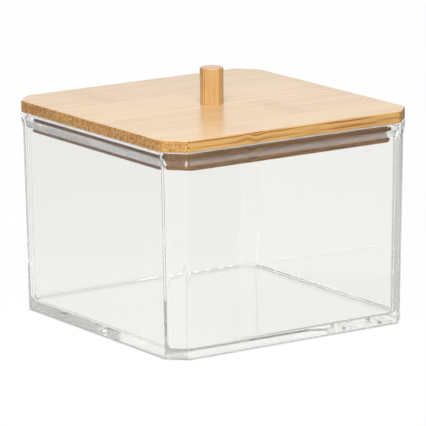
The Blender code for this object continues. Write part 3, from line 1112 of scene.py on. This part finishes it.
@dataclass
class KnobScrew:
    """The countersunk wood screw that pulls the knob down, head in the plug board."""

    head_radius: float = 3.1 * MM
    head_rim: float = 0.3 * MM
    head_rise: float = 1.6 * MM
    shank_radius: float = 1.45 * MM
    core_radius: float = 1.05 * MM
    point: float = 3.0 * MM
    pitch: float = 1.25 * MM
    ridge: float = 0.42 * MM
    drive_width: float = 0.9 * MM
    drive_span: float = 3.4 * MM
    drive_depth: float = 1.0 * MM
    drive_taper_share: float = 0.55
    steps: int = 64
    steps_a_turn: int = 24

    def drive_blade(self, turn: float, bottom: float) -> Object:
        """Make one tapered blade of the cross recess.

        Args:
            turn: Angle of the blade about Z.
            bottom: Height of the screw head's face.

        Returns:
            The cutter.
        """
        work = bmesh.new()
        bmesh.ops.create_cube(work, size=1.0)
        depth = self.drive_depth * 2.0
        bmesh.ops.scale(work, vec=(self.drive_span, self.drive_width, depth), verts=work.verts)
        for vert in work.verts:
            if vert.co.z > 0.0:
                vert.co.x *= self.drive_taper_share
                vert.co.y *= self.drive_taper_share
        bmesh.ops.rotate(work, matrix=Matrix.Rotation(turn, 3, "Z"), verts=work.verts)
        bmesh.ops.translate(work, vec=(0.0, 0.0, bottom), verts=work.verts)
        return object_from(work, "drive_blade")

    def build(self, finish: Material) -> Object:
        """Turn the head and shank, cut the cross recess and wind the thread.

        Args:
            finish: Plated steel.

        Returns:
            The finished screw.
        """
        low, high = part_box("knob_screw")
        bottom, tip = low[2], high[2]
        thread_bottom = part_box("lid_plate")[1][2]
        shank_end = tip - self.point
        cone_top = bottom + self.head_rim + self.head_rise
        blank = turned("screw_blank", [
            (0.0, tip),
            (self.core_radius, shank_end),
            (self.core_radius, thread_bottom),
            (self.shank_radius, thread_bottom - self.pitch / 2.0),
            (self.shank_radius, cone_top),
            (self.head_radius, bottom + self.head_rim),
            (self.head_radius, bottom),
            (0.0, bottom),
        ], self.steps)
        close_and_shade(blank)
        blades = [self.drive_blade(turn, bottom) for turn in (0.0, math.pi / 2.0)]
        screw = bore_out(blank, blades, "knob_wood_screw")
        thread = grown("screw_thread", thread_tree(), Core_Radius=self.core_radius,
                       Ridge_Radius=self.ridge, Pitch=self.pitch, Bottom=thread_bottom,
                       Top=shank_end, Steps_A_Turn=self.steps_a_turn, Finish=finish)
        work = bmesh.new()
        work.from_mesh(screw.data)
        work.from_mesh(thread.data)
        work.to_mesh(screw.data)
        work.free()
        bpy.data.objects.remove(thread, do_unlink=True)
        finish_piece(screw, finish, "knob_screw", Body.LID)
        return screw


@dataclass
class Studio:
    """Pale floor, white backdrop and soft light."""

    floor_size: float = 8.0
    floor_gap: float = 0.3 * MM
    floor_roughness: float = 0.9
    floor_white: Colour = (0.93, 0.92, 0.90, 1.0)
    floor_near: Colour = (0.60, 0.60, 0.60, 1.0)
    floor_far: Colour = (0.34, 0.34, 0.34, 1.0)
    contact_share: float = 0.6
    contact_inside: float = 51.0 * MM
    contact_outside: float = 54.6 * MM
    contact_corner: float = 17.9 * MM
    contact_fade: float = 0.8 * MM
    near_reach: float = 0.16
    far_reach: float = 0.34
    backdrop_share: float = 0.985
    mirrored_floor: float = 0.05
    inner_mirror: float = 1.0
    dim_side: Point = (0.8, -0.6, 0.0)
    dim_from: float = 0.05
    dim_to: float = 0.60
    dim_tone: float = 0.60
    room_strength: float = 0.27
    lamp_place: Point = (-0.412, -0.567, 0.835)
    lamp_size: float = 0.6
    lamp_watts: float = 9.6
    bounces: int = 96

    def seen_directly(self, wire: Wiring, reflection_share: float) -> Socket:
        """Tell whether a ray shows the backdrop: straight from the camera or through plastic.

        Args:
            wire: Wiring of the tree.
            reflection_share: How much of the backdrop a reflection shows.

        Returns:
            Share of the backdrop.
        """
        path = wire.add("ShaderNodeLightPath").outputs
        seen = wire.math("MAXIMUM", path["Is Camera Ray"], path["Is Transmission Ray"])
        inside = wire.math("GREATER_THAN", path["Transmission Depth"], 0.5)
        share = wire.ramp(inside, 0.0, 1.0, reflection_share, self.inner_mirror)
        mirrored = wire.math("MULTIPLY", path["Is Glossy Ray"],
                             wire.math("MULTIPLY", share, wire.math(
                                 "SUBTRACT", 1.0, path["Is Transmission Ray"])))
        seen = wire.math("MAXIMUM", seen, mirrored)
        before_diffuse = wire.math("LESS_THAN", path["Diffuse Depth"], 0.5)
        return wire.math("MULTIPLY", seen, before_diffuse)

    def tone(self, wire: Wiring, direction: Socket) -> Socket:
        """Give the backdrop's strength: full where it is seen, lower where the dim side shows.

        Args:
            wire: Wiring of the tree.
            direction: Way in which the backdrop lies.

        Returns:
            Strength of the backdrop.
        """
        toward = wire.vector("DOT_PRODUCT", wire.vector("NORMALIZE", direction), self.dim_side)
        mirrored = wire.ramp(toward.node.outputs["Value"], self.dim_from, self.dim_to, 1.0,
                             self.dim_tone)
        path = wire.add("ShaderNodeLightPath").outputs
        straight = wire.math("LESS_THAN", path["Glossy Depth"], 0.5)
        return wire.math("MAXIMUM", straight, mirrored)

    def world(self) -> None:
        """Light the room softly and show a white backdrop."""
        made = bpy.data.worlds.new("studio_room")
        made.use_nodes = True
        bpy.context.scene.world = made
        wire = Wiring(made.node_tree)
        room = made.node_tree.nodes["Background"]
        wire.put(room, Color=WHITE, Strength=self.room_strength)
        direction = wire.add("ShaderNodeTexCoord").outputs["Generated"]
        backdrop = wire.apply("ShaderNodeBackground", WHITE, self.tone(wire, direction))
        share = self.seen_directly(wire, reflection_share=1.0)
        shown = wire.apply("ShaderNodeMixShader", share, room.outputs[0], backdrop)
        wire.put(made.node_tree.nodes["World Output"], Surface=shown)

    def floor(self) -> Object:
        """Lay the pale floor.

        Returns:
            The floor.
        """
        work = bmesh.new()
        bmesh.ops.create_grid(work, x_segments=1, y_segments=1, size=self.floor_size / 2.0)
        bmesh.ops.translate(work, vec=(0.0, 0.0, -self.floor_gap), verts=work.verts)
        floor = object_from(work, "studio_floor")
        made, wire, shader = new_material("studio_floor_white")
        place = wire.add("ShaderNodeTexCoord").outputs["Object"]
        reach = wire.vector("LENGTH", place)
        far = wire.ramp(reach.node.outputs["Value"], self.near_reach, self.far_reach)
        path = wire.add("ShaderNodeLightPath").outputs
        mirrored = wire.blend(far, self.floor_near, self.floor_far)
        colour = wire.blend(path["Is Glossy Ray"], self.floor_white, mirrored)
        wire.put(shader, Base_Color=colour, Roughness=self.floor_roughness,
                 Specular_IOR_Level=0.0)
        glow = wire.apply("ShaderNodeEmission", WHITE, self.tone(wire, place))
        contact = wire.math("MULTIPLY", self.contact_band(wire, place), path["Is Camera Ray"])
        share = wire.math("MULTIPLY", self.seen_directly(wire, self.mirrored_floor),
                          wire.math("MULTIPLY_ADD", contact, -self.contact_share,
                                    self.backdrop_share))
        shown = wire.apply("ShaderNodeMixShader", share, shader.outputs[0], glow)
        wire.put(made.node_tree.nodes["Material Output"], Surface=shown)
        dress(floor, made)
        return floor

    def contact_band(self, wire: Wiring, place: Socket) -> Socket:
        """Mark the floor along the foot of the box, where the contact shadow shows.

        Args:
            wire: Wiring of the floor's tree.
            place: Place on the floor.

        Returns:
            Mask of the band.
        """
        along, across = [wire.math("ABSOLUTE", axis) for axis in wire.split(place)[:2]]
        corner = wire.math("MULTIPLY_ADD", wire.math("ADD", along, across),
                           math.cos(FLAT_CORNER_TURN), -self.contact_corner)
        reach = wire.math("MAXIMUM", wire.math("MAXIMUM", along, across), corner)
        inner = wire.ramp(reach, self.contact_inside - self.contact_fade, self.contact_inside)
        outer = wire.ramp(reach, self.contact_outside, self.contact_outside - self.contact_fade)
        return wire.math("MULTIPLY", inner, outer)

    def lamp(self) -> Object:
        """Set up one soft lamp that faces the box.

        Returns:
            The lamp.
        """
        light = bpy.data.lights.new("soft_lamp", "AREA")
        light.shape = "SQUARE"
        light.size = self.lamp_size
        light.energy = self.lamp_watts
        lamp = link(bpy.data.objects.new("soft_lamp", light))
        lamp.location = self.lamp_place
        lamp.rotation_euler = Vector(self.lamp_place).to_track_quat("Z", "Y").to_euler()
        return lamp

    def build(self) -> None:
        """Set up the floor, the world, the lamp and the depth of the light's paths."""
        self.world()
        self.floor()
        self.lamp()
        scene = bpy.context.scene
        scene.view_settings.view_transform = "Standard"
        for depth in ("max_bounces", "glossy_bounces", "transmission_bounces"):
            setattr(scene.cycles, depth, self.bounces)
        log.info("studio: soft lamp of %.1f W, room at %.2f", self.lamp_watts,
                 self.room_strength)


@dataclass
class PhotoCamera:
    """Camera at the photograph's place, fitted to the box's edges."""

    yaw: float = math.radians(-34.037)
    pitch: float = math.radians(12.434)
    roll: float = math.radians(-0.452)
    lens: float = 337.396
    sensor: float = 36.0
    distance: float = 1.52717
    clip_share: float = 20.0
    aim: Point = (0.0, 0.0, 0.039)
    aim_right: float = 0.00013
    aim_up: float = 0.00050

    def build(self) -> Object:
        """Set up the camera.

        Returns:
            The scene's camera.
        """
        forward = Vector((-math.sin(self.yaw) * math.cos(self.pitch),
                          math.cos(self.yaw) * math.cos(self.pitch), -math.sin(self.pitch)))
        right = Vector((math.cos(self.yaw), math.sin(self.yaw), 0.0))
        up = right.cross(forward)
        rolled_right = right * math.cos(self.roll) + up * math.sin(self.roll)
        rolled_up = up * math.cos(self.roll) - right * math.sin(self.roll)
        target = Vector(self.aim) + right * self.aim_right + up * self.aim_up
        data = bpy.data.cameras.new("photo_camera")
        data.sensor_width = self.sensor
        data.lens = self.lens
        data.clip_end = self.distance * self.clip_share
        camera = link(bpy.data.objects.new("photo_camera", data))
        place = Matrix((rolled_right, rolled_up, -forward)).transposed().to_4x4()
        place.translation = target - forward * self.distance
        camera.matrix_world = place
        bpy.context.scene.camera = camera
        log.info("camera: %.1f mm lens at %.2f m", self.lens, self.distance)
        return camera


def main() -> None:
    """Build the camera, the studio and every piece of the box."""
    PhotoCamera().build()
    Studio().build()
    groups = NodeGroups.build()
    board = Bamboo(groups, "bamboo_lid_board", pale=linear(227, 177, 98),
                   broad_pale=linear(243, 201, 138), deep=linear(166, 98, 34),
                   grain=Grain.ALONG_X, cut_end_tone=0.05)
    # The plug board's pale is brighter and its square ends far darker than the plate's: partly
    # raw sawn bamboo and end grain, partly painted light on its long faces and painted shade on
    # its ends under the plate
    plug = Bamboo(groups, "bamboo_plug_board", pale=linear(250, 186, 92),
                  broad_pale=linear(243, 201, 138), deep=linear(154, 86, 28),
                  grain=Grain.ALONG_X, contrast=0.5, cut_end_tone=0.6, wood_roughness=0.6,
                  lacquer=0.0, specular=0.2)
    # The dowel's turned grain paints light at the knob's middle and shade at its left and right
    # sides
    dowel = Bamboo(groups, "bamboo_knob_dowel", pale=linear(233, 187, 118),
                   broad_pale=linear(236, 191, 125), deep=linear(166, 96, 34),
                   grain=Grain.ALONG_Z, contrast=1.35, seat=(0.0, 0.0071, 0.0043))
    ClearTub().build(ClearPlastic(groups).material())
    boards = LidBoards()
    boards.plate(board.material())
    boards.dress_plug(plug.material())
    TurnedKnob().build(dowel.material())
    KnobScrew().build(ZincSteel(groups).material())


if __name__ == "__main__":
    main()
